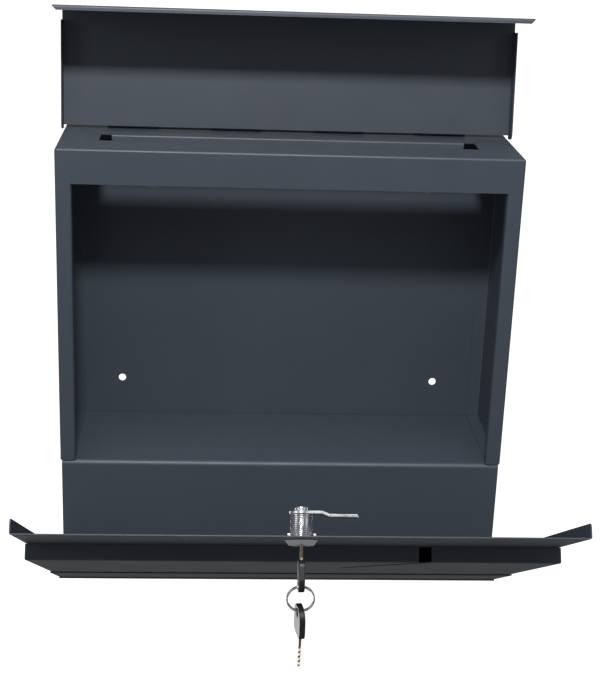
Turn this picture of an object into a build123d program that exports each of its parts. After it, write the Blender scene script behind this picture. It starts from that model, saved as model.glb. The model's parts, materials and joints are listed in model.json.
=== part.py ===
from build123d import *
import os
from math import cos, radians, sin

# A wall mounted mailbox of folded, powder coated steel sheet, in millimetres.
# The letter box is above, behind a drop-down door, and an open ended newspaper tray is below.
# The origin is the centre of the four wall screws, on the rear face of the back panel.
# The wall is the plane y = 0, the front faces -Y, +X is to the right of a person in front, +Z is up.
# The model stands as it does in use with its lid thrown back and its door dropped open.

# ---- driving sizes: box -------------------------------------------------------------------
body_width = 370.0
body_height = 365.0
body_depth = 110.0
cap_height = 28.0           # front face of the top cap
tray_height = 102.0         # newspaper tray, from the letter box floor to the bottom
tray_inset = 1.25           # each tray end stands this far inside the side walls
sheet = 1.0                 # steel of the box
bend = 2.0                  # outside radius of a folded edge
tray_bend = 4.0             # outside radius of the tray's front edges
cap_return = 12.0           # lip folded back under the cap's front face
side_strip = 12.7           # front strip of a side wall, beside the door opening
side_lip = 8.0              # lip folded back along the door opening
weld_flange = 12.0
lap = 10.0                  # strip that joins a side wall to the cap
screw_span_x = 280.0
screw_span_z = 180.0
screw_drop = 50.0           # upper wall screws below the top face
screw_hole_radius = 3.25

# ---- driving sizes: letter slot in the cap ------------------------------------------------
slot_end_margin = 32.0
slot_front_margin = 34.0
slot_depth = 27.5
slot_corner = 1.0
tongue_side_gap = 8.5
tongue_drop = 8.0
tongue_lean = 1.0
tongue_taper = 1.5

# ---- driving sizes: lid -------------------------------------------------------------------
lid_open = 98.0             # degrees, from closed to leaning back
lid_sheet = 1.0
lid_rest_gap = 0.8          # closed lid above the cap
lid_side_gap = 0.4          # lid flanges beside the cap
lid_front_height = 79.0
lid_lip = 4.0
lid_lip_slant = 3.0
lid_flange_depth = 14.0
lid_flange_start = 10.0     # flange front end, behind the front bend
lid_rear_run = 2.0          # lid plate behind its hinge line
lid_ear_run = 5.0           # flange ears behind the hinge line
lid_ear_radius = 6.0
lid_hinge_back = 24.0       # hinge line in front of the wall
lid_knuckle_radius = 2.0
lid_pin_radius = 1.0
lid_hinge_margin = 35.0     # hinge ends inside the box sides
lid_leaf = 12.0

# ---- driving sizes: door ------------------------------------------------------------------
door_open = 59.0            # degrees, from closed to resting on its stop
door_sheet = 1.0
door_gap = 0.5              # closed door in front of the box and below the cap
door_side_gap = 1.0         # door flanges beside the box
door_flange = 10.5
door_corner = 3.0
door_hinge_lift = 4.0       # door knuckles above the tray's bottom
door_heel = 1.6             # pan below the hinge line, which stops the opened door
recess_length = 86.0        # flush upper zone with the lock
cover_rise = 11.2           # raised cover above the pan
cover_bend = 1.2
rail_length = 76.0
rail_sheet = 1.0
rail_lip = 1.2
groove_width = 9.5          # slanting groove in the cover
groove_top_x = 91.0
groove_end_x = 40.0
groove_length = 76.0
door_knuckle_radius = 2.6
door_pin_radius = 1.5
door_hinge_margin = 25.0
door_leaf = 12.0

# ---- driving sizes: hinges in common ------------------------------------------------------
leaf_sheet = 0.8
knuckle_count = 7
knuckle_gap = 0.6           # between neighbouring knuckles
knuckle_clear = 0.3         # a knuckle to the sheet that turns past it
pin_clear = 0.05            # radial, where a pin turns in a knuckle

# ---- driving sizes: lock ------------------------------------------------------------------
lock_inset = 29.5           # lock axis below the door's free edge
rosette_radius = 11.0
rosette_top_radius = 8.5
rosette_height = 3.6
lock_radius = 8.0
lock_flats = 14.6
lock_behind = 15.7          # lock body behind the pan
lock_bore_radius = 5.4
plug_clear = 0.05
plug_head_radius = 6.15
plug_head_height = 1.2
plug_recess = 0.2           # plug face below the rosette's top
plug_tail = 6.0             # square that carries the cam
clip_reach = 9.5
clip_height = 3.0
cam_sheet = 2.0
cam_gap = 0.3               # cam behind the lock body
cam_width = 14.0
cam_flat = 13.5
cam_ramp = 18.0
cam_reach = 38.0
cam_offset = 2.0
washer_radius = 4.6
washer_sheet = 0.8
cam_screw_radius = 2.0
cam_screw_head_radius = 4.25
cam_screw_head = 2.4
cam_screw_length = 6.4
lid_lock_gap = 0.5          # rosette to the inside of the closed lid

# ---- driving sizes: keys and ring ---------------------------------------------------------
blade_width = 7.0
blade_sheet = 2.0
blade_inside = 15.5         # blade inside the lock, from the rosette's top
blade_outside = 9.2
blade_tang = 9.0            # blade inside the plastic head
keyway_clear = 0.1
key_head_length = 21.0
key_head_width = 20.0
key_head_sheet = 4.0
key_head_corner = 8.0
key_shoulder_corner = 5.0
key_hole_radius = 2.75
key_hole_inset = 4.75       # key hole from the head's end
notch_count = 4
notch_pitch = 3.4
notch_depth = 1.5
spare_turn = 8.0            # degrees, the spare key about the vertical
ring_radius = 9.6
ring_wire = 1.3
ring_turns = 2
ring_seat = 1.3             # wire's centre from the centre of a key's hole

# ---- driving sizes: bumpers ---------------------------------------------------------------
bumper_inset = 77.0         # from the box sides
bumper_radius = 4.5
bumper_height = 1.8
bumper_set_back = 7.0       # bumper centre behind the front plane

# ---- places -------------------------------------------------------------------------------
side_x = body_width / 2
front_y = -body_depth
top_z = screw_span_z / 2 + screw_drop
bottom_z = top_z - body_height
seam_z = top_z - cap_height
floor_z = bottom_z + tray_height
opening_x = side_x - side_strip
tray_x = side_x - tray_inset
inner_x = side_x - sheet

pan_half = side_x + door_side_gap + door_sheet
door_axis_y = front_y - door_knuckle_radius - knuckle_clear
door_axis_z = bottom_z + door_hinge_lift + door_knuckle_radius
pan_inner = -(door_knuckle_radius + knuckle_clear - door_gap)
pan_outer = pan_inner + door_sheet
pan_top = seam_z - door_gap - door_axis_z
pan_low = -door_heel
leaf_start = door_knuckle_radius + 2 * knuckle_clear + 0.2
cover_top = pan_top - recess_length
cover_low = leaf_start + knuckle_clear
cover_outer = pan_outer + cover_rise

lid_half = side_x + lid_side_gap + lid_sheet
lid_plate = -(lid_knuckle_radius + knuckle_clear)
lid_axis_y = -lid_hinge_back
lid_axis_z = top_z + lid_rest_gap + lid_sheet - lid_plate
closed_door_face = door_axis_y - pan_outer
lid_front_y = closed_door_face - rosette_height - lid_lock_gap - lid_sheet
lid_reach = lid_axis_y - lid_front_y

# ---- planes -------------------------------------------------------------------------------
# Door planes: local v runs from the hinge line to the free edge, local n points out of the door.
door_turn = radians(door_open)
door_along = Vector(0, -sin(door_turn), cos(door_turn))
door_outward = Vector(0, -cos(door_turn), -sin(door_turn))
door_origin = Vector(0, door_axis_y, door_axis_z)
door_face = Plane(door_origin, x_dir=(1, 0, 0), z_dir=door_outward)     # local (x, v), normal n
door_side = Plane(door_origin, x_dir=door_along, z_dir=(1, 0, 0))       # local (v, n), normal x
door_section = Plane(door_origin, x_dir=(1, 0, 0), z_dir=door_along)    # local (x, -n), normal v

# Lid planes: local u runs from the hinge line to the front bend, local w points out of the lid.
lid_turn = radians(lid_open)
lid_along = Vector(0, -cos(lid_turn), sin(lid_turn))
lid_origin = Vector(0, lid_axis_y, lid_axis_z)
lid_outward = Vector(0, sin(lid_turn), cos(lid_turn))
lid_side = Plane(lid_origin, x_dir=lid_along, z_dir=(-1, 0, 0))         # local (u, w), normal -x
lid_face = Plane(lid_origin, x_dir=(1, 0, 0), z_dir=lid_outward)        # local (x, -u), normal w

# Lock plane: on the outer face of the door's recess, normal n.
lock_v = pan_top - lock_inset
lock_origin = door_origin + door_along * lock_v + door_outward * pan_outer
lock_face = Plane(lock_origin, x_dir=(1, 0, 0), z_dir=door_outward)     # local (x, v), normal n
lock_turned = Plane(lock_origin, x_dir=door_along, z_dir=door_outward)  # local (v, -x), normal n

# Keys: origin in the head's hole, local x runs to the blade's tip, local z is the thickness.
head_beyond_hole = key_head_length - key_hole_inset
key_hole_out = rosette_height + blade_outside + head_beyond_hole
key_origin = lock_origin + door_outward * key_hole_out
key_plane = Plane(key_origin, x_dir=-door_outward, z_dir=(1, 0, 0))
ring_mean = ring_radius - ring_wire / 2
ring_origin = key_origin + Vector(0, 0, -ring_seat - ring_mean)
spare_origin = ring_origin + Vector(0, 0, -ring_mean - ring_seat)
spare_normal = (cos(radians(spare_turn)), sin(radians(spare_turn)), 0)
spare_plane = Plane(spare_origin, x_dir=(0, 0, -1), z_dir=spare_normal)

os.makedirs("parts", exist_ok=True)


def save(piece, name):
    piece.part.label = name
    export_step(piece.part, "parts/" + name + ".step")


# ---- back panel: a flat sheet with four holes for the wall screws --------------------------
with BuildPart() as back_panel:
    with BuildSketch(Plane.XZ):
        with Locations((0, (top_z - sheet + bottom_z) / 2)):
            panel_outline = Rectangle(2 * inner_x, top_z - sheet - bottom_z)
        fillet(panel_outline.vertices().group_by(Axis.Z)[-1], radius=bend)
        with GridLocations(screw_span_x, screw_span_z, 2, 2):
            Circle(screw_hole_radius, mode=Mode.SUBTRACT)
    extrude(amount=sheet)
save(back_panel, "back_panel")

# ---- top cap: a folded hood with the letter slot and the tongue bent down behind it ---------
slot_front_y = front_y + slot_front_margin
slot_rear_y = slot_front_y + slot_depth
slot_width = body_width - 2 * slot_end_margin
tongue_half = slot_width / 2 - tongue_side_gap
with BuildPart() as top_cap:
    with BuildSketch(Plane.XY.offset(seam_z)):
        with Locations((0, front_y / 2)):
            Rectangle(body_width, body_depth)
    extrude(amount=cap_height)
    upper_edges = top_cap.faces().sort_by(Axis.Z)[-1].edges().sort_by(Axis.Y)[:-1]
    corner_edges = top_cap.edges().filter_by(Axis.Z).sort_by(Axis.Y)[:2]
    fillet(upper_edges + corner_edges, radius=bend)
    cap_openings = [top_cap.faces().sort_by(Axis.Z)[0], top_cap.faces().sort_by(Axis.Y)[-1]]
    offset(amount=-sheet, openings=cap_openings)
    with BuildSketch(Plane.XY.offset(seam_z)):
        with Locations((0, front_y + sheet / 2 + cap_return / 2)):
            Rectangle(2 * (side_x - bend), cap_return - sheet)
    extrude(amount=sheet)
    with BuildSketch(Plane.XY.offset(top_z)):
        with Locations((0, (slot_front_y + slot_rear_y) / 2)):
            RectangleRounded(slot_width, slot_depth, slot_corner)
    extrude(amount=-2 * sheet, mode=Mode.SUBTRACT)
    with BuildSketch(Plane.YZ):
        with BuildLine():
            FilletPolyline(
                (slot_rear_y + sheet, top_z),
                (slot_rear_y - bend, top_z),
                (slot_rear_y - bend - tongue_lean, top_z - tongue_drop),
                radius=bend,
            )
            offset(amount=sheet, side=Side.LEFT)
        make_face()
    extrude(amount=tongue_half, both=True)
    with BuildSketch(Plane.XZ.offset(-slot_rear_y + bend)):
        with BuildLine():
            Polyline(
                (tongue_half - tongue_taper, top_z - tongue_drop - sheet),
                (tongue_half, top_z - bend),
                (tongue_half + sheet, top_z - bend),
                (tongue_half + sheet, top_z - tongue_drop - sheet),
                close=True,
            )
        make_face()
        mirror(about=Plane.YZ)
    extrude(amount=bend + tongue_lean + sheet, mode=Mode.SUBTRACT)
save(top_cap, "top_cap")

# ---- side walls: folded channels with a front strip, a lip and a rear weld flange ------------
with BuildPart() as right_side_wall:
    with BuildSketch(Plane.XY.offset(floor_z)):
        with BuildLine():
            FilletPolyline(
                (side_x - weld_flange, -sheet),
                (side_x, -sheet),
                (side_x, front_y),
                (opening_x, front_y),
                (opening_x, front_y + side_lip),
                radius=bend,
            )
            offset(amount=sheet, side=Side.RIGHT)
        make_face()
    extrude(amount=seam_z - floor_z)
    # floor flange, welded to the top of the tray
    with BuildSketch(Plane.XY.offset(floor_z)):
        with Locations((inner_x - (weld_flange - sheet) / 2 + sheet / 2, front_y / 2)):
            Rectangle(weld_flange - sheet, body_depth - 2 * (bend + sheet))
    extrude(amount=sheet)
    # lap strip, welded inside the wall and inside the cap's skirt
    with BuildSketch(Plane.XY.offset(seam_z - lap)):
        with Locations((inner_x - sheet / 2, front_y / 2)):
            Rectangle(sheet, body_depth - 2 * weld_flange)
    extrude(amount=2 * lap)
save(right_side_wall, "right_side_wall")

with BuildPart() as left_side_wall:
    mirror(right_side_wall.part, about=Plane.YZ)
save(left_side_wall, "left_side_wall")

# ---- newspaper tray: one sheet folded round into a tunnel with open ends ----------------------
with BuildPart() as newspaper_tray:
    with BuildSketch(Plane.YZ):
        with BuildLine():
            FilletPolyline(
                (-sheet, floor_z - weld_flange),
                (-sheet, floor_z),
                (front_y, floor_z),
                (front_y, bottom_z),
                (-sheet, bottom_z),
                (-sheet, bottom_z + weld_flange),
                radius=[bend, tray_bend, tray_bend, bend],
            )
            offset(amount=sheet, side=Side.LEFT)
        make_face()
    extrude(amount=tray_x, both=True)
save(newspaper_tray, "newspaper_tray")

# ---- door bumpers: two domed rubber buttons under the cap's lip -------------------------------
with BuildPart() as door_bumpers:
    with BuildSketch(Plane.XY.offset(seam_z)):
        with GridLocations(2 * (side_x - bumper_inset), 1, 2, 1):
            with Locations((0, front_y + bumper_set_back)):
                Circle(bumper_radius)
    extrude(amount=-bumper_height)
    fillet(door_bumpers.faces().filter_by(Axis.Z).group_by(Axis.Z)[0].edges(), radius=bumper_height * 0.8)
save(door_bumpers, "door_bumpers")


# ---- hinges: knuckles take turns between the fixed leaf and the moving leaf -------------------
def knuckle_spans(length, moving):
    pitch = length / knuckle_count
    first = 1 if moving else 0
    spans = []
    for index in range(first, knuckle_count, 2):
        spans.append(-length / 2 + pitch * (index + 0.5))
    return spans, pitch - knuckle_gap


lid_hinge_length = body_width - 2 * lid_hinge_margin
door_hinge_length = body_width - 2 * door_hinge_margin

# fixed leaf of the lid hinge: it stands on the cap behind the lid plate
with BuildPart() as lid_hinge_base:
    base_start = lid_knuckle_radius + 4 * knuckle_clear
    base_low = top_z - lid_axis_z
    with BuildSketch(Plane.YZ.shift_origin((0, lid_axis_y, lid_axis_z))):
        with Locations((base_start + lid_leaf / 2, base_low + leaf_sheet / 2)):
            Rectangle(lid_leaf, leaf_sheet)
    extrude(amount=lid_hinge_length / 2, both=True)
    centres, knuckle_length = knuckle_spans(lid_hinge_length, False)
    for centre in centres:
        with BuildSketch(Plane.YZ.shift_origin((0, lid_axis_y, lid_axis_z)).offset(centre)):
            Circle(lid_knuckle_radius)
            with Locations(((base_start + leaf_sheet) / 2, 0)):
                Rectangle(base_start + leaf_sheet, leaf_sheet)
            with Locations((base_start + leaf_sheet / 2, (base_low + leaf_sheet / 2) / 2)):
                Rectangle(leaf_sheet, leaf_sheet / 2 - base_low)
            Circle(lid_pin_radius, mode=Mode.SUBTRACT)
        extrude(amount=knuckle_length / 2, both=True)
save(lid_hinge_base, "lid_hinge_base")

# moving leaf of the lid hinge, on the outer face of the lid plate
with BuildPart() as lid_hinge_leaf:
    leaf_near = lid_knuckle_radius + 2 * knuckle_clear
    with BuildSketch(lid_side):
        with Locations((leaf_near + lid_leaf / 2, lid_plate + leaf_sheet / 2)):
            Rectangle(lid_leaf, leaf_sheet)
    extrude(amount=lid_hinge_length / 2, both=True)
    centres, knuckle_length = knuckle_spans(lid_hinge_length, True)
    for centre in centres:
        with BuildSketch(lid_side.offset(centre)):
            Circle(lid_knuckle_radius)
            with Locations((leaf_near / 2, lid_plate + leaf_sheet / 2)):
                Rectangle(leaf_near, leaf_sheet)
            Circle(lid_pin_radius + pin_clear, mode=Mode.SUBTRACT)
        extrude(amount=knuckle_length / 2, both=True)
save(lid_hinge_leaf, "lid_hinge_leaf")

with BuildPart() as lid_hinge_pin:
    with BuildSketch(Plane.YZ.shift_origin((0, lid_axis_y, lid_axis_z))):
        Circle(lid_pin_radius)
    extrude(amount=lid_hinge_length / 2, both=True)
save(lid_hinge_pin, "lid_hinge_pin")

# fixed leaf of the door hinge, under the tray's bottom
with BuildPart() as door_hinge_base:
    base_top = bottom_z - door_axis_z
    base_near = door_knuckle_radius + 3 * knuckle_clear
    with BuildSketch(Plane.YZ.shift_origin((0, door_axis_y, door_axis_z))):
        with Locations((base_near + door_leaf / 2, base_top - leaf_sheet / 2)):
            Rectangle(door_leaf, leaf_sheet)
    extrude(amount=door_hinge_length / 2, both=True)
    centres, knuckle_length = knuckle_spans(door_hinge_length, False)
    for centre in centres:
        with BuildSketch(Plane.YZ.shift_origin((0, door_axis_y, door_axis_z)).offset(centre)):
            Circle(door_knuckle_radius)
            with Locations((base_near / 2, base_top - leaf_sheet / 2)):
                Rectangle(base_near, leaf_sheet)
            with Locations((0, (base_top - leaf_sheet - door_pin_radius) / 2)):
                Rectangle(2 * leaf_sheet, door_pin_radius - base_top + leaf_sheet - 2 * door_pin_radius)
            Circle(door_pin_radius, mode=Mode.SUBTRACT)
        extrude(amount=knuckle_length / 2, both=True)
save(door_hinge_base, "door_hinge_base")

# moving leaf of the door hinge, on the outer face of the door pan
with BuildPart() as door_hinge_leaf:
    with BuildSketch(door_side):
        with Locations((leaf_start + door_leaf / 2, pan_outer + leaf_sheet / 2)):
            Rectangle(door_leaf, leaf_sheet)
    extrude(amount=door_hinge_length / 2, both=True)
    centres, knuckle_length = knuckle_spans(door_hinge_length, True)
    for centre in centres:
        with BuildSketch(door_side.offset(centre)):
            Circle(door_knuckle_radius)
            with Locations((leaf_start / 2, pan_outer + leaf_sheet / 2)):
                Rectangle(leaf_start, leaf_sheet)
            Circle(door_pin_radius + pin_clear, mode=Mode.SUBTRACT)
        extrude(amount=knuckle_length / 2, both=True)
save(door_hinge_leaf, "door_hinge_leaf")

with BuildPart() as door_hinge_pin:
    with BuildSketch(Plane.YZ.shift_origin((0, door_axis_y, door_axis_z))):
        Circle(door_pin_radius)
    extrude(amount=door_hinge_length / 2, both=True)
save(door_hinge_pin, "door_hinge_pin")

# ---- lid: one sheet folded into top plate, front plate, front lip and two side flanges --------
with BuildPart() as lid_hood:
    with BuildSketch(lid_side):
        with BuildLine():
            FilletPolyline(
                (-lid_rear_run, lid_plate),
                (lid_reach, lid_plate),
                (lid_reach, lid_plate - lid_front_height),
                (lid_reach - lid_lip, lid_plate - lid_front_height),
                radius=bend,
            )
            offset(amount=lid_sheet, side=Side.RIGHT)
        make_face()
    extrude(amount=lid_half, both=True)
    # side flange with a rounded ear past the hinge line
    with BuildSketch(lid_side.offset(lid_half - lid_sheet)):
        with BuildLine():
            FilletPolyline(
                (lid_reach - lid_flange_start, lid_plate),
                (-lid_ear_run, lid_plate),
                (-lid_ear_run, lid_plate - lid_flange_depth),
                (lid_reach - lid_flange_start, lid_plate - lid_flange_depth),
                radius=[lid_sheet, lid_ear_radius],
            )
            Line((lid_reach - lid_flange_start, lid_plate - lid_flange_depth), (lid_reach - lid_flange_start, lid_plate))
        make_face()
    extrude(amount=lid_sheet)
    mirror(about=Plane.YZ)
    # slanted ends of the front lip
    with BuildSketch(lid_face.offset(lid_plate - lid_front_height - lid_sheet)):
        with BuildLine():
            Polyline(
                (lid_half, -lid_reach + lid_sheet),
                (lid_half - lid_lip_slant, -lid_reach + lid_lip),
                (lid_half, -lid_reach + lid_lip),
                close=True,
            )
        make_face()
        mirror(about=Plane.YZ)
    extrude(amount=2 * lid_sheet + bend, mode=Mode.SUBTRACT)
save(lid_hood, "lid_hood")

# ---- door pan: the flat inner sheet with its side flanges -------------------------------------
with BuildPart() as door_pan:
    with BuildSketch(door_section.offset(pan_low)):
        with BuildLine():
            FilletPolyline(
                (-pan_half, -pan_outer + door_flange),
                (-pan_half, -pan_outer),
                (pan_half, -pan_outer),
                (pan_half, -pan_outer + door_flange),
                radius=1.5 * door_sheet,
            )
            offset(amount=door_sheet, side=Side.LEFT)
        make_face()
    extrude(amount=pan_top - pan_low)
    # rounded flange corners
    with BuildSketch(door_side):
        with BuildLine():
            FilletPolyline(
                (pan_top, pan_outer),
                (pan_top, pan_outer - door_flange),
                (pan_low, pan_outer - door_flange),
                (pan_low, pan_outer),
                radius=[door_corner, 2 * door_corner],
            )
            Line((pan_low, pan_outer), (pan_top, pan_outer))
        make_face()
    extrude(amount=pan_half, both=True, mode=Mode.INTERSECT)
    # room for the hinge knuckles
    with BuildSketch(door_face):
        with Locations((0, (leaf_start + pan_low) / 2)):
            Rectangle(door_hinge_length + 4 * knuckle_gap, leaf_start - pan_low)
    extrude(amount=door_flange, both=True, mode=Mode.SUBTRACT)
    # hole for the lock body
    with BuildSketch(lock_turned):
        Circle(lock_radius)
        Rectangle(2 * lock_radius, lock_flats, mode=Mode.INTERSECT)
    extrude(amount=-2 * door_sheet, mode=Mode.SUBTRACT)
save(door_pan, "door_pan")

# ---- door cover: the raised outer sheet with its slanting groove ------------------------------
with BuildPart() as door_cover:
    with BuildSketch(door_face.offset(pan_outer)):
        with Locations((0, (cover_top + cover_low) / 2)):
            Rectangle(2 * pan_half, cover_top - cover_low)
    extrude(amount=cover_rise)
    outer_face = door_cover.faces().sort_by(Axis(door_origin, door_outward))[-1]
    fillet(outer_face.edges(), radius=cover_bend)
    inner_face = door_cover.faces().sort_by(Axis(door_origin, door_outward))[0]
    offset(amount=-door_sheet, openings=inner_face)
    # the lower return stands on the hinge leaf
    with BuildSketch(door_face.offset(pan_outer)):
        with Locations((0, leaf_start + door_leaf / 2)):
            Rectangle(door_hinge_length, door_leaf)
    extrude(amount=leaf_sheet, mode=Mode.SUBTRACT)
    with BuildSketch(door_face.offset(pan_outer)):
        with BuildLine():
            groove_slope = (groove_top_x - groove_end_x) / groove_length
            over = 2 * door_sheet
            Polyline(
                (groove_top_x + over * groove_slope - groove_width / 2, cover_top + over),
                (groove_top_x + over * groove_slope + groove_width / 2, cover_top + over),
                (groove_end_x + groove_width / 2, cover_top - groove_length),
                (groove_end_x - groove_width / 2, cover_top - groove_length),
                close=True,
            )
        make_face()
    extrude(amount=cover_rise + door_sheet, mode=Mode.SUBTRACT)
save(door_cover, "door_cover")

# ---- door rail: a folded strip over the cover's lower end, with a drip lip --------------------
with BuildPart() as door_rail:
    with BuildSketch(door_side):
        with BuildLine():
            FilletPolyline(
                (pan_low + rail_length, cover_outer),
                (pan_low, cover_outer),
                (pan_low, cover_outer + rail_sheet + rail_lip),
                radius=bend,
            )
            offset(amount=rail_sheet, side=Side.RIGHT)
        make_face()
    extrude(amount=pan_half, both=True)
save(door_rail, "door_rail")

# ---- lock: body with its rosette, clip, plug, cam, washer and screw ---------------------------
lock_end = -(door_sheet + lock_behind)
counterbore_floor = rosette_height - plug_recess - plug_head_height - plug_clear
with BuildPart(lock_face) as lock_body:
    Cone(rosette_radius, rosette_top_radius, rosette_height, align=(Align.CENTER, Align.CENTER, Align.MIN))
    with BuildSketch(lock_turned):
        Circle(lock_radius)
        Rectangle(2 * lock_radius, lock_flats, mode=Mode.INTERSECT)
    extrude(amount=lock_end)
    with BuildSketch(lock_face.offset(lock_end)):
        Circle(lock_bore_radius)
    extrude(amount=rosette_height - lock_end, mode=Mode.SUBTRACT)
    with BuildSketch(lock_face.offset(counterbore_floor)):
        Circle(plug_head_radius + plug_clear)
    extrude(amount=rosette_height, mode=Mode.SUBTRACT)
save(lock_body, "lock_body")

with BuildPart() as lock_clip:
    with BuildSketch(lock_turned.offset(-door_sheet)):
        with BuildLine():
            FilletPolyline(
                (lock_radius - sheet, clip_reach),
                (-clip_reach, clip_reach),
                (-clip_reach, -clip_reach),
                (lock_radius - sheet, -clip_reach),
                radius=clip_reach / 2,
            )
            Line((lock_radius - sheet, -clip_reach), (lock_radius - sheet, clip_reach))
        make_face()
        with BuildSketch(lock_turned.offset(-door_sheet), mode=Mode.SUBTRACT):
            Circle(lock_radius)
            with Locations((lock_radius / 2, 0)):
                Rectangle(lock_radius, 2 * lock_radius)
            Rectangle(4 * lock_radius, lock_flats, mode=Mode.INTERSECT)
    extrude(amount=-clip_height)
save(lock_clip, "lock_clip")

plug_end = lock_end - cam_gap
plug_face = rosette_height - plug_recess
keyway_depth = blade_inside + 4 * keyway_clear
with BuildPart() as lock_plug:
    with BuildSketch(lock_face.offset(plug_end)):
        Circle(lock_bore_radius - plug_clear)
    extrude(amount=plug_face - plug_end)
    with BuildSketch(lock_face.offset(plug_face)):
        Circle(plug_head_radius)
    extrude(amount=-plug_head_height)
    with BuildSketch(lock_face.offset(plug_end)):
        Rectangle(plug_tail, plug_tail)
    extrude(amount=-cam_sheet)
    with BuildSketch(lock_face.offset(plug_face)):
        Rectangle(blade_sheet + 2 * keyway_clear, blade_width + 2 * keyway_clear)
    extrude(amount=rosette_height - plug_face - keyway_depth, mode=Mode.SUBTRACT)
    with BuildSketch(lock_face.offset(plug_end - cam_sheet)):
        Circle(cam_screw_radius)
    extrude(amount=cam_screw_length - washer_sheet, mode=Mode.SUBTRACT)
save(lock_plug, "lock_plug")

# cam: a cranked arm, rounded round the plug and narrower towards its tip
cam_top = plug_end
cam_side = Plane(lock_origin, x_dir=(1, 0, 0), z_dir=-door_along)
with BuildPart() as cam:
    with BuildSketch(cam_side):
        with BuildLine():
            Polyline(
                (-cam_width, cam_top),
                (cam_flat, cam_top),
                (cam_ramp, cam_top + cam_offset),
                (cam_reach, cam_top + cam_offset),
            )
            offset(amount=cam_sheet, side=Side.RIGHT)
        make_face()
    extrude(amount=cam_width, both=True)
    with BuildSketch(lock_face.offset(plug_end - cam_sheet)):
        Circle(cam_width / 2 + sheet)
        with BuildLine():
            Polyline(
                (0, cam_width / 2),
                (cam_ramp, cam_width / 2 - sheet),
                (cam_reach - sheet, cam_width / 2 - 2 * sheet),
                (cam_reach, 0),
                (cam_reach - sheet, -cam_width / 2 + 2 * sheet),
                (cam_ramp, -cam_width / 2 + sheet),
                (0, -cam_width / 2),
                close=True,
            )
        make_face()
    extrude(amount=cam_sheet + 2 * cam_offset, mode=Mode.INTERSECT)
    with BuildSketch(lock_face.offset(plug_end)):
        Rectangle(plug_tail, plug_tail)
    extrude(amount=-cam_sheet, mode=Mode.SUBTRACT)
save(cam, "cam")

with BuildPart() as cam_washer:
    with BuildSketch(lock_face.offset(plug_end - cam_sheet)):
        Circle(washer_radius)
        Circle(cam_screw_radius, mode=Mode.SUBTRACT)
    extrude(amount=-washer_sheet)
save(cam_washer, "cam_washer")

with BuildPart() as cam_screw:
    with BuildSketch(lock_face.offset(plug_end - cam_sheet - washer_sheet)):
        Circle(cam_screw_head_radius)
    extrude(amount=-cam_screw_head)
    screw_top = cam_screw.faces().sort_by(Axis(lock_origin, door_outward))[0]
    fillet(screw_top.edges(), radius=cam_screw_head / 2)
    with BuildSketch(lock_face.offset(plug_end - cam_sheet - washer_sheet)):
        Circle(cam_screw_radius)
    extrude(amount=cam_screw_length)
    with BuildSketch(lock_face.offset(plug_end - cam_sheet - washer_sheet - cam_screw_head)):
        Rectangle(3 * cam_screw_radius, cam_screw_radius / 2)
        Rectangle(cam_screw_radius / 2, 3 * cam_screw_radius)
    extrude(amount=cam_screw_head / 2, mode=Mode.SUBTRACT)
save(cam_screw, "cam_screw")


# ---- keys: a notched blade moulded into a plastic head ----------------------------------------
def key_blade_piece(plane):
    blade_start = head_beyond_hole - blade_tang
    blade_tip = head_beyond_hole + blade_outside + blade_inside
    half = blade_width / 2
    with BuildPart() as blade:
        with BuildSketch(plane):
            with BuildLine():
                Polyline(
                    (blade_start, half),
                    (blade_tip - half, half),
                    (blade_tip, 0),
                    (blade_tip - half, -half),
                    (blade_start, -half),
                    close=True,
                )
            make_face()
        extrude(amount=blade_sheet / 2, both=True)
        with BuildSketch(plane):
            for index in range(notch_count):
                notch_x = blade_tip - half - notch_pitch * (index + 0.5)
                with BuildLine():
                    Polyline(
                        (notch_x - notch_pitch / 2, -half),
                        (notch_x, -half + notch_depth),
                        (notch_x + notch_pitch / 2, -half),
                        close=True,
                    )
                make_face()
        extrude(amount=blade_sheet, both=True, mode=Mode.SUBTRACT)
    return blade


def key_head_piece(plane, blade):
    with BuildPart() as head:
        with BuildSketch(plane):
            with BuildLine():
                FilletPolyline(
                    (head_beyond_hole, key_head_width / 2),
                    (-key_hole_inset, key_head_width / 2),
                    (-key_hole_inset, -key_head_width / 2),
                    (head_beyond_hole, -key_head_width / 2),
                    radius=[key_shoulder_corner, key_head_corner, key_head_corner, key_shoulder_corner],
                    close=True,
                )
            make_face()
            Circle(key_hole_radius, mode=Mode.SUBTRACT)
        extrude(amount=key_head_sheet / 2, both=True)
        add(blade.part, mode=Mode.SUBTRACT)
    return head


key_blade = key_blade_piece(key_plane)
key_head = key_head_piece(key_plane, key_blade)
save(key_blade, "key_blade")
save(key_head, "key_head")

spare_key_blade = key_blade_piece(spare_plane)
spare_key_head = key_head_piece(spare_plane, spare_key_blade)
save(spare_key_blade, "spare_key_blade")
save(spare_key_head, "spare_key_head")

# ---- split ring: two turns of wire side by side ------------------------------------------------
with BuildPart() as split_ring:
    with BuildSketch(Plane(ring_origin, x_dir=(1, 0, 0), z_dir=(0, 0, 1))):
        with Locations((ring_mean, 0)):
            RectangleRounded(ring_wire, ring_turns * ring_wire, ring_wire / 3)
    revolve(axis=Axis(ring_origin, (0, 1, 0)))
save(split_ring, "split_ring")
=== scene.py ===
import json
import math

import bmesh
import bpy
from mathutils import Matrix, Vector


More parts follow.
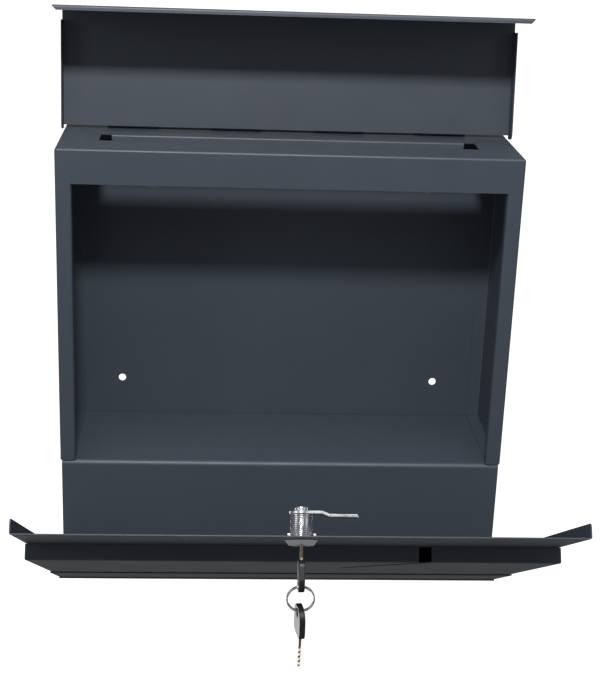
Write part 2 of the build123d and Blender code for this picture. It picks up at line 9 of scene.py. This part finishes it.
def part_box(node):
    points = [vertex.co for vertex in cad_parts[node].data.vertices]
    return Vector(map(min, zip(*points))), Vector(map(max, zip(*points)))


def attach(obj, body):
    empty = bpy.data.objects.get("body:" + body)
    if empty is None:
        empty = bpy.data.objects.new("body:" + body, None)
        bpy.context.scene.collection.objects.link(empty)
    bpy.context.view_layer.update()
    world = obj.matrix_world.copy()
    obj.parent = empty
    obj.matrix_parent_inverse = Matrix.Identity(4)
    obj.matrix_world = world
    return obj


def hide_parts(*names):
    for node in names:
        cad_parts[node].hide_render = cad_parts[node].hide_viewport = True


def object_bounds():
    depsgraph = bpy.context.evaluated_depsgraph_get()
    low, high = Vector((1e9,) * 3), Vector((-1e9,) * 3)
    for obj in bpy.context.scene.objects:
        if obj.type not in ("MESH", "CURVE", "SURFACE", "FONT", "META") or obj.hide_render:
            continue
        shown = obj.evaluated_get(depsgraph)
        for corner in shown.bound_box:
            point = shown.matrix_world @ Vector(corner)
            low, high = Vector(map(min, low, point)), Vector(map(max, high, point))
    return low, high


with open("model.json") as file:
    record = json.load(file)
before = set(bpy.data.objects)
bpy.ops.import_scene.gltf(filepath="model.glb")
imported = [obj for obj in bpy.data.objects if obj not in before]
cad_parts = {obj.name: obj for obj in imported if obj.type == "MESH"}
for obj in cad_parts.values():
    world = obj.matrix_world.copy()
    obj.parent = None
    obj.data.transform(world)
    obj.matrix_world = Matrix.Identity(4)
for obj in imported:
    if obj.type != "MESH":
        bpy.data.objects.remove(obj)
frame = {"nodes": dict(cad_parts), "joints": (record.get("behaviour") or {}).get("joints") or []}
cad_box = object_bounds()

scene = bpy.context.scene
nodes = frame["nodes"]
joints = {joint["name"]: joint for joint in frame["joints"]}


# ---- Housing ------------------------------------------------------------------------------
# The box is 1 mm steel sheet, laser cut, folded and spot welded, then powder coated in one go:
# back panel, top cap, two side walls, newspaper tray and the fixed leaves of both hinges.
# Its cut edges are eased before the coat, and the coat has a fine satin grain.

class Wire:
    """A shader socket that can stand in a Python expression."""

    def __init__(self, finish, socket):
        self.finish = finish
        self.socket = socket

    def math(self, operation, *values):
        return self.finish.node("ShaderNodeMath", {"operation": operation}, dict(enumerate(values)))

    def __add__(self, other):
        return self.math("ADD", self, other)

    def __mul__(self, other):
        return self.math("MULTIPLY", self, other)

    __radd__ = __add__
    __rmul__ = __mul__

    def above(self, low, high):
        return self.finish.node(
            "ShaderNodeMapRange",
            {"interpolation_type": "SMOOTHSTEP"},
            {"Value": self, "From Min": low, "From Max": high},
        )


class Finish:
    """One material, with its principled shader's uniform values set on the shader itself."""

    def __init__(self, name, **uniform):
        self.material = bpy.data.materials.new(name)
        self.material.use_nodes = True
        self.tree = self.material.node_tree
        self.shader = self.tree.nodes["Principled BSDF"]
        for socket, value in uniform.items():
            self.shader.inputs[socket.replace("_", " ")].default_value = value

    def node(self, kind, settings, sockets, output=0):
        made = self.tree.nodes.new(kind)
        for setting, value in settings.items():
            setattr(made, setting, value)
        for socket, value in sockets.items():
            self.plug(made.inputs[socket], value)
        return Wire(self, made.outputs[output])

    def plug(self, socket, value):
        if isinstance(value, Wire):
            self.tree.links.new(value.socket, socket)
        else:
            socket.default_value = value

    def place(self):
        return self.node("ShaderNodeTexCoord", {}, {}, "Object")

    def noise(self, scale, detail=2.0, roughness=0.5):
        sockets = {"Vector": self.place(), "Scale": scale, "Detail": detail, "Roughness": roughness}
        return self.node("ShaderNodeTexNoise", {}, sockets)

    def between(self, share, low, high):
        sockets = {"Factor": share, 6: (*low, 1.0), 7: (*high, 1.0)}
        return self.node("ShaderNodeMix", {"data_type": "RGBA"}, sockets, 2)

    def bump(self, height, distance, strength=1.0):
        return self.node("ShaderNodeBump", {}, {"Height": height, "Distance": distance, "Strength": strength})

    def set(self, **varying):
        for socket, value in varying.items():
            self.plug(self.shader.inputs[socket.replace("_", " ")], value)
        return self.material


def powder_coat():
    finish = Finish("anthracite_powder_coat", IOR=1.5, Specular_IOR_Level=0.5)
    cloudy = finish.noise(9.0, 3.0)
    grain = finish.noise(1100.0, 3.0, 0.6)
    speck = finish.noise(3200.0, 1.0)
    handled = finish.noise(34.0, 4.0, 0.65).above(0.42, 0.70)
    colour = finish.between(cloudy * 0.7 + speck * 0.3, (0.043, 0.053, 0.070), (0.056, 0.069, 0.090))
    rough = 0.40 + grain * 0.10 + handled * 0.06
    relief = grain * 0.75 + speck * 0.25
    return finish.set(Base_Color=colour, Roughness=rough, Normal=finish.bump(relief, 0.00006, 0.7))


anthracite = powder_coat()
edge_easing = 0.00022
weld_distance = 1e-6
flat_within = math.radians(0.5)
eased_over = math.radians(50)
smooth_under = math.radians(38)


def finished_copy(name, body, material, easing=edge_easing, segments=2):
    """A welded copy of a CAD piece with its edges eased, which then stands for it."""
    mesh = nodes[name].data.copy()
    form = bmesh.new()
    form.from_mesh(mesh)
    bmesh.ops.remove_doubles(form, verts=form.verts, dist=weld_distance)
    bmesh.ops.dissolve_limit(form, angle_limit=flat_within, verts=form.verts, edges=form.edges)
    form.to_mesh(mesh)
    form.free()
    draft = bpy.data.objects.new(name + "_draft", mesh)
    scene.collection.objects.link(draft)
    bevel = draft.modifiers.new("eased_edges", "BEVEL")
    bevel.width = easing
    bevel.segments = segments
    bevel.limit_method = "ANGLE"
    bevel.angle_limit = eased_over
    flats = draft.modifiers.new("flat_faces", "WEIGHTED_NORMAL")
    flats.keep_sharp = True
    return settled(draft, name + "_finished", body, material, name)


def plain_mesh(draft):
    """The draft's shape with all its modifiers worked in, after which the draft goes."""
    worked = draft.evaluated_get(bpy.context.evaluated_depsgraph_get())
    shape = bpy.data.meshes.new_from_object(worked)
    bpy.data.objects.remove(draft)
    return shape


def settled(draft, name, body, material, *replaced):
    """The draft as a plain piece with smooth curves and sharp folds, riding on a body."""
    draft.data.shade_smooth()
    draft.data.set_sharp_from_angle(angle=smooth_under)
    shape = plain_mesh(draft)
    shape.materials.clear()
    shape.materials.append(material)
    piece = bpy.data.objects.new(name, shape)
    scene.collection.objects.link(piece)
    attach(piece, body)
    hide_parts(*replaced)
    return piece


folded_sheets = [
    "back_panel",
    "top_cap",
    "left_side_wall",
    "right_side_wall",
    "newspaper_tray",
    "lid_hinge_base",
    "door_hinge_base",
]
for sheet in folded_sheets:
    finished_copy(sheet, "housing", anthracite)


# ---- Bumpers ------------------------------------------------------------------------------
# Two soft buttons of pale rubber, moulded with a domed face, are stuck up under the cap's lip.
# They stop the closing door from ringing against the steel.

def pale_rubber():
    finish = Finish("pale_bumper_rubber", Specular_IOR_Level=0.3)
    dust = finish.noise(700.0, 3.0)
    colour = finish.between(dust, (0.30, 0.31, 0.31), (0.42, 0.43, 0.43))
    rough = 0.62 + dust * 0.15
    return finish.set(Base_Color=colour, Roughness=rough, Normal=finish.bump(dust, 0.00005, 0.5))


finished_copy("door_bumpers", "housing", pale_rubber())


# ---- Lid ----------------------------------------------------------------------------------
# The lid is one folded sheet: a top plate, a front plate with a lip and a flange at each side.
# It hangs on a knuckled hinge whose moving leaf is spot welded to its rear edge.

for sheet in ["lid_hood", "lid_hinge_leaf"]:
    finished_copy(sheet, "lid", anthracite)


# ---- Door ---------------------------------------------------------------------------------
# A flat pan with side flanges carries a raised cover, which has a slanting groove cut in it.
# A folded rail with a drip lip lies over the cover's lower end, all of it spot welded steel.

for sheet in ["door_pan", "door_cover", "door_rail", "door_hinge_leaf"]:
    finished_copy(sheet, "door", anthracite)


# ---- Hinge pins ---------------------------------------------------------------------------
# Plain steel rods, zinc plated, cut to length and pinched in the outer knuckles.
# The moving knuckles turn on them.

def zinc_plate():
    finish = Finish("bright_zinc_plate", Metallic=1.0)
    streaks = finish.noise(420.0, 4.0, 0.6)
    stains = finish.noise(90.0, 3.0).above(0.45, 0.75)
    colour = finish.between(stains, (0.80, 0.81, 0.83), (0.60, 0.61, 0.64))
    rough = 0.20 + streaks * 0.16
    return finish.set(Base_Color=colour, Roughness=rough, Normal=finish.bump(streaks, 0.00003, 0.5))


zinc = zinc_plate()
for pin in ["lid_hinge_pin", "door_hinge_pin"]:
    finished_copy(pin, "housing", zinc)


# ---- Lock body ----------------------------------------------------------------------------
# A die-cast zinc cam lock, chromed: a conical rosette in front and a threaded barrel behind,
# with two flats that keep it from turning in the door's hole.

def chrome():
    finish = Finish("lock_chrome", Metallic=1.0)
    haze = finish.noise(600.0, 3.0)
    colour = finish.between(haze, (0.90, 0.91, 0.92), (0.80, 0.81, 0.83))
    rough = 0.12 + haze * 0.12
    return finish.set(Base_Color=colour, Roughness=rough, Normal=finish.bump(haze, 0.00002, 0.4))


chromed = chrome()
lock_at = Vector(joints["lock_turn"]["pos_m"])
lock_out = -Vector(joints["lock_turn"]["axis"]).normalized()
lock_across = Vector((1, 0, 0))
lock_up = lock_out.cross(lock_across)
lock_frame = Matrix((lock_across, lock_up, lock_out)).transposed()

barrel_radius = 0.0080
barrel_flats = 0.0073
barrel_end = -0.0167
bore_radius = 0.0054
counterbore_radius = 0.0062
counterbore_floor = 0.00215
rosette_height = 0.0036
rosette_radius = 0.0110
rosette_top_radius = 0.0085
thread_pitch = 0.00125
thread_depth = 0.0006
thread_start = -0.0022
columns = 128
rings_per_turn = 6


lip = 0.0003


def round_ring(reach, height):
    """Points right round the lock's axis, at one reach or at a reach for each column."""
    reaches = reach if isinstance(reach, list) else [reach] * columns
    ring = []
    for column in range(columns):
        angle = 2 * math.pi * column / columns
        across, up = math.cos(angle), math.sin(angle)
        ring.append(Vector((reaches[column] * across, reaches[column] * up, height)))
    return ring


def barrel_ring(height):
    """One ring of the barrel: the thread's depth here, cut short by the two flats."""
    in_thread = barrel_end + thread_pitch / 2 < height < thread_start
    reaches = []
    for column in range(columns):
        turn = column / columns
        valley = 1 - abs(2 * ((height / thread_pitch - turn) % 1.0) - 1)
        depth = thread_depth * valley if in_thread else 0.0
        if height <= barrel_end:
            depth = thread_depth
        flat_reach = barrel_flats / max(abs(math.cos(2 * math.pi * turn)), 0.001)
        reaches.append(min(barrel_radius - depth, flat_reach))
    return round_ring(reaches, height)


rings = [
    round_ring(bore_radius, barrel_end),
    round_ring(bore_radius, counterbore_floor),
    round_ring(counterbore_radius, counterbore_floor),
    round_ring(counterbore_radius, rosette_height - lip),
    round_ring(counterbore_radius + lip, rosette_height),
    round_ring(rosette_top_radius - 2 * lip, rosette_height),
    round_ring(rosette_top_radius - lip / 2, rosette_height - lip / 2),
    round_ring(rosette_top_radius + lip, rosette_height - 2 * lip),
    round_ring(rosette_radius - 2 * lip, 3 * lip),
    round_ring(rosette_radius - lip / 3, 1.5 * lip),
    round_ring(rosette_radius, lip),
    round_ring(rosette_radius - lip / 3, 0.0),
    barrel_ring(0.0),
    barrel_ring(thread_start),
]
steps = int((thread_start - barrel_end) / thread_pitch * rings_per_turn)
for step in range(1, steps + 1):
    rings.append(barrel_ring(thread_start + (barrel_end - thread_start) * step / steps))

points = [lock_at + lock_frame @ point for ring in rings for point in ring]
faces = []
for row in range(len(rings)):
    after = (row + 1) % len(rings)
    for column in range(columns):
        beside = (column + 1) % columns
        faces.append((
            row * columns + column,
            row * columns + beside,
            after * columns + beside,
            after * columns + column,
        ))
lock_mesh = bpy.data.meshes.new("lock_barrel")
lock_mesh.from_pydata(points, [], faces)
form = bmesh.new()
form.from_mesh(lock_mesh)
bmesh.ops.recalc_face_normals(form, faces=form.faces)
form.to_mesh(lock_mesh)
form.free()
lock_draft = bpy.data.objects.new("lock_draft", lock_mesh)
scene.collection.objects.link(lock_draft)
settled(lock_draft, "lock_barrel_finished", "door", chromed, "lock_body")


# ---- Lock clip ----------------------------------------------------------------------------
# A horseshoe of spring steel, stamped and zinc plated.
# It is pushed over the barrel's flats, behind the pan, to hold the lock in its hole.

finished_copy("lock_clip", "door", zinc, easing=0.0004, segments=3)


# ---- Plug, cam, washer and screw ----------------------------------------------------------
# The die-cast plug turns in the barrel with the key.
# A cranked steel cam sits on its square end, under a washer and a cross headed screw.

finished_copy("lock_plug", "plug", chromed, easing=0.00015)
for part in ["cam", "cam_washer", "cam_screw"]:
    finished_copy(part, "plug", zinc, easing=0.0003, segments=3)


# ---- Keys ---------------------------------------------------------------------------------
# Each key is a stamped brass blade with notches cut in one edge, nickel plated and worn.
# Its other end is moulded into a black plastic head with a hole for the ring.

def key_metal():
    finish = Finish("worn_key_metal", Metallic=1.0)
    wear = finish.noise(260.0, 4.0, 0.6).above(0.38, 0.62)
    scratch = finish.noise(1500.0, 2.0)
    colour = finish.between(wear, (0.52, 0.50, 0.46), (0.50, 0.41, 0.26))
    rough = 0.26 + scratch * 0.16
    return finish.set(Base_Color=colour, Roughness=rough, Normal=finish.bump(scratch, 0.00003, 0.5))


def black_plastic():
    finish = Finish("black_key_plastic", Specular_IOR_Level=0.45)
    grain = finish.noise(1600.0, 3.0)
    colour = finish.between(grain, (0.006, 0.006, 0.007), (0.013, 0.013, 0.015))
    rough = 0.38 + grain * 0.14
    return finish.set(Base_Color=colour, Roughness=rough, Normal=finish.bump(grain, 0.00005, 0.6))


blade_metal = key_metal()
head_plastic = black_plastic()
for key, body in [("key", "key"), ("spare_key", "spare_key")]:
    finished_copy(key + "_blade", body, blade_metal, easing=0.0002)
    finished_copy(key + "_head", body, head_plastic, easing=0.0009, segments=4)


# ---- Split ring ---------------------------------------------------------------------------
# Spring wire, nickel plated, wound nearly twice round and flattened tight.
# It crosses from one turn to the other in a short step.

def ring_nickel():
    finish = Finish("ring_nickel", Metallic=1.0)
    haze = finish.noise(900.0, 3.0)
    colour = finish.between(haze, (0.74, 0.74, 0.75), (0.62, 0.62, 0.64))
    rough = 0.16 + haze * 0.14
    return finish.set(Base_Color=colour, Roughness=rough, Normal=finish.bump(haze, 0.00002, 0.4))


def split_ring_tree(material):
    tree = bpy.data.node_groups.new("split_ring_winding", "GeometryNodeTree")
    for name in ["Radius", "Wire", "Turns", "Crossing"]:
        tree.interface.new_socket(name, in_out="INPUT", socket_type="NodeSocketFloat")
    tree.interface.new_socket("Geometry", in_out="OUTPUT", socket_type="NodeSocketGeometry")

    def add(kind, sockets=None, **settings):
        made = tree.nodes.new(kind)
        for setting, value in settings.items():
            setattr(made, setting, value)
        for socket, value in (sockets or {}).items():
            if isinstance(value, bpy.types.NodeSocket):
                tree.links.new(value, made.inputs[socket])
            else:
                made.inputs[socket].default_value = value
        return made

    given = add("NodeGroupInput").outputs
    winding = add("GeometryNodeCurveSpiral", {
        "Resolution": 90,
        "Rotations": given["Turns"],
        "Start Radius": given["Radius"],
        "End Radius": given["Radius"],
        "Height": 0.0,
    })
    along = add("GeometryNodeSplineParameter").outputs["Factor"]

    def worked_out(operation, one, other):
        return add("ShaderNodeMath", {0: one, 1: other}, operation=operation).outputs[0]

    side = add("ShaderNodeMapRange", {
        "Value": along,
        "From Min": worked_out("SUBTRACT", 0.5, given["Crossing"]),
        "From Max": worked_out("ADD", 0.5, given["Crossing"]),
        "To Min": worked_out("MULTIPLY", given["Wire"], -0.5),
        "To Max": worked_out("MULTIPLY", given["Wire"], 0.5),
    }, interpolation_type="SMOOTHSTEP").outputs[0]
    shift = add("ShaderNodeCombineXYZ", {"Z": side}).outputs[0]
    moved = add("GeometryNodeSetPosition", {"Geometry": winding.outputs[0], "Offset": shift})
    half_wire = worked_out("MULTIPLY", given["Wire"], 0.49)
    section = add("GeometryNodeCurvePrimitiveCircle", {"Resolution": 20, "Radius": half_wire})
    swept = add("GeometryNodeCurveToMesh", {
        "Curve": moved.outputs[0], "Profile Curve": section.outputs[0], "Fill Caps": True,
    })
    real = add("GeometryNodeRealizeInstances", {0: swept.outputs[0]})
    coated = add("GeometryNodeSetMaterial", {"Geometry": real.outputs[0], "Material": material})
    tree.links.new(coated.outputs[0], add("NodeGroupOutput").inputs[0])
    return tree


ring_low, ring_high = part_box("split_ring")
ring_centre = (Vector(ring_low) + Vector(ring_high)) / 2
ring_wire = (ring_high[1] - ring_low[1]) / 2
nickel = ring_nickel()
winding_tree = split_ring_tree(nickel)
ring_sizes = {
    "Radius": (ring_high[0] - ring_low[0]) / 2 - ring_wire / 2,
    "Wire": ring_wire,
    "Turns": 1.88,
    "Crossing": 0.035,
}
ring_draft = bpy.data.objects.new("ring_draft", bpy.data.meshes.new("ring_draft"))
scene.collection.objects.link(ring_draft)
winder = ring_draft.modifiers.new("winding", "NODES")
winder.node_group = winding_tree
for item in winding_tree.interface.items_tree:
    if item.in_out == "INPUT":
        winder[item.identifier] = ring_sizes[item.name]
ring_shape = plain_mesh(ring_draft)
ring_shape.transform(Matrix.Translation(ring_centre) @ Matrix.Rotation(math.radians(90), 4, "X"))
ring_shape.shade_smooth()
ring_shape.set_sharp_from_angle(angle=math.radians(60))
split_ring = bpy.data.objects.new("split_ring_finished", ring_shape)
scene.collection.objects.link(split_ring)
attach(split_ring, "ring")
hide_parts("split_ring")


# ---- Floor, light and camera --------------------------------------------------------------
# A white paper sweep stands behind and below the mailbox, which soft panels light.
# The sweep is only seen: it neither lights the mailbox nor shows in its reflections.

def studio_paper():
    finish = Finish("studio_paper", Specular_IOR_Level=0.1)
    fibre = finish.noise(60.0, 4.0)
    glow = finish.between(fibre, (0.97, 0.97, 0.97), (1.0, 1.0, 1.0))
    finish.shader.inputs["Emission Strength"].default_value = 0.9
    rough = 0.9 + fibre * 0.05
    return finish.set(Base_Color=(0.80, 0.80, 0.80, 1.0), Emission_Color=glow, Roughness=rough)


floor_height = cad_box[0][2] - 0.35
sweep_back = 2.6
sweep_front = -3.0
sweep_radius = 1.2
sweep_top = 3.5
sweep_half = 4.5
outline = [(sweep_front, floor_height), (sweep_back - sweep_radius, floor_height)]
sweep_steps = 12
for step in range(1, sweep_steps + 1):
    angle = math.radians(90) * step / sweep_steps
    outline.append((
        sweep_back - sweep_radius + sweep_radius * math.sin(angle),
        floor_height + sweep_radius * (1 - math.cos(angle)),
    ))
outline.append((sweep_back, sweep_top))
sweep_points = [(side * sweep_half, y, z) for y, z in outline for side in (-1, 1)]
sweep_faces = [(2 * i, 2 * i + 1, 2 * i + 3, 2 * i + 2) for i in range(len(outline) - 1)]
sweep_mesh = bpy.data.meshes.new("studio_sweep")
sweep_mesh.from_pydata(sweep_points, [], sweep_faces)
sweep_mesh.materials.append(studio_paper())
sweep_mesh.shade_smooth()
sweep = bpy.data.objects.new("studio_sweep", sweep_mesh)
scene.collection.objects.link(sweep)
sweep.visible_diffuse = False
sweep.visible_glossy = False
scene.view_settings.view_transform = "Standard"

world = bpy.data.worlds.new("studio")
world.use_nodes = True
room_light = world.node_tree.nodes["Background"]
room_light.inputs["Color"].default_value = (1.0, 1.0, 1.0, 1.0)
room_light.inputs["Strength"].default_value = 0.20
scene.world = world


def soft_panel(name, place, target, size, power):
    lamp = bpy.data.lights.new(name, "AREA")
    lamp.shape = "RECTANGLE"
    lamp.size, lamp.size_y = size
    lamp.energy = power
    panel = bpy.data.objects.new(name, lamp)
    panel.location = place
    panel.rotation_mode = "QUATERNION"
    panel.rotation_quaternion = (Vector(target) - Vector(place)).to_track_quat("-Z", "Y")
    scene.collection.objects.link(panel)


soft_panel("key_panel", (-0.1, -1.15, 1.10), (0, -0.05, 0.1), (0.14, 0.14), 19)
soft_panel("left_panel", (-1.8, -1.2, 0.5), (0, -0.1, 0.0), (0.8, 1.4), 5)
soft_panel("right_panel", (1.9, -1.5, 0.7), (0, -0.1, 0.0), (0.8, 1.4), 3)
soft_panel("top_panel", (0.0, -0.7, 1.9), (0, -0.1, 0.0), (1.4, 0.8), 10)
soft_panel("low_left_panel", (-0.52, 0.35, -0.56), (-0.2, -0.3, -0.15), (0.3, 0.4), 3.0)
soft_panel("low_right_panel", (0.66, 0.35, -0.56), (0.2, -0.3, -0.15), (0.3, 0.4), 1.6)

camera_place = Vector((-0.0620, -1.2295, 0.3787))
camera_pitch = math.radians(19.30)
camera_yaw = math.radians(3.74)
camera_roll = math.radians(2.16)
forward = Vector((
    math.sin(camera_yaw) * math.cos(camera_pitch),
    math.cos(camera_yaw) * math.cos(camera_pitch),
    -math.sin(camera_pitch),
))
level_right = Vector((math.cos(camera_yaw), -math.sin(camera_yaw), 0))
level_down = forward.cross(level_right)
right = level_right * math.cos(camera_roll) - level_down * math.sin(camera_roll)
down = level_right * math.sin(camera_roll) + level_down * math.cos(camera_roll)
camera_data = bpy.data.cameras.new("camera")
camera_data.sensor_width = 36.0
camera_data.lens = 77.0
camera = bpy.data.objects.new("camera", camera_data)
camera_turn = Matrix((right, -down, -forward)).transposed().to_4x4()
camera.matrix_world = Matrix.Translation(camera_place) @ camera_turn
scene.collection.objects.link(camera)
scene.camera = camera
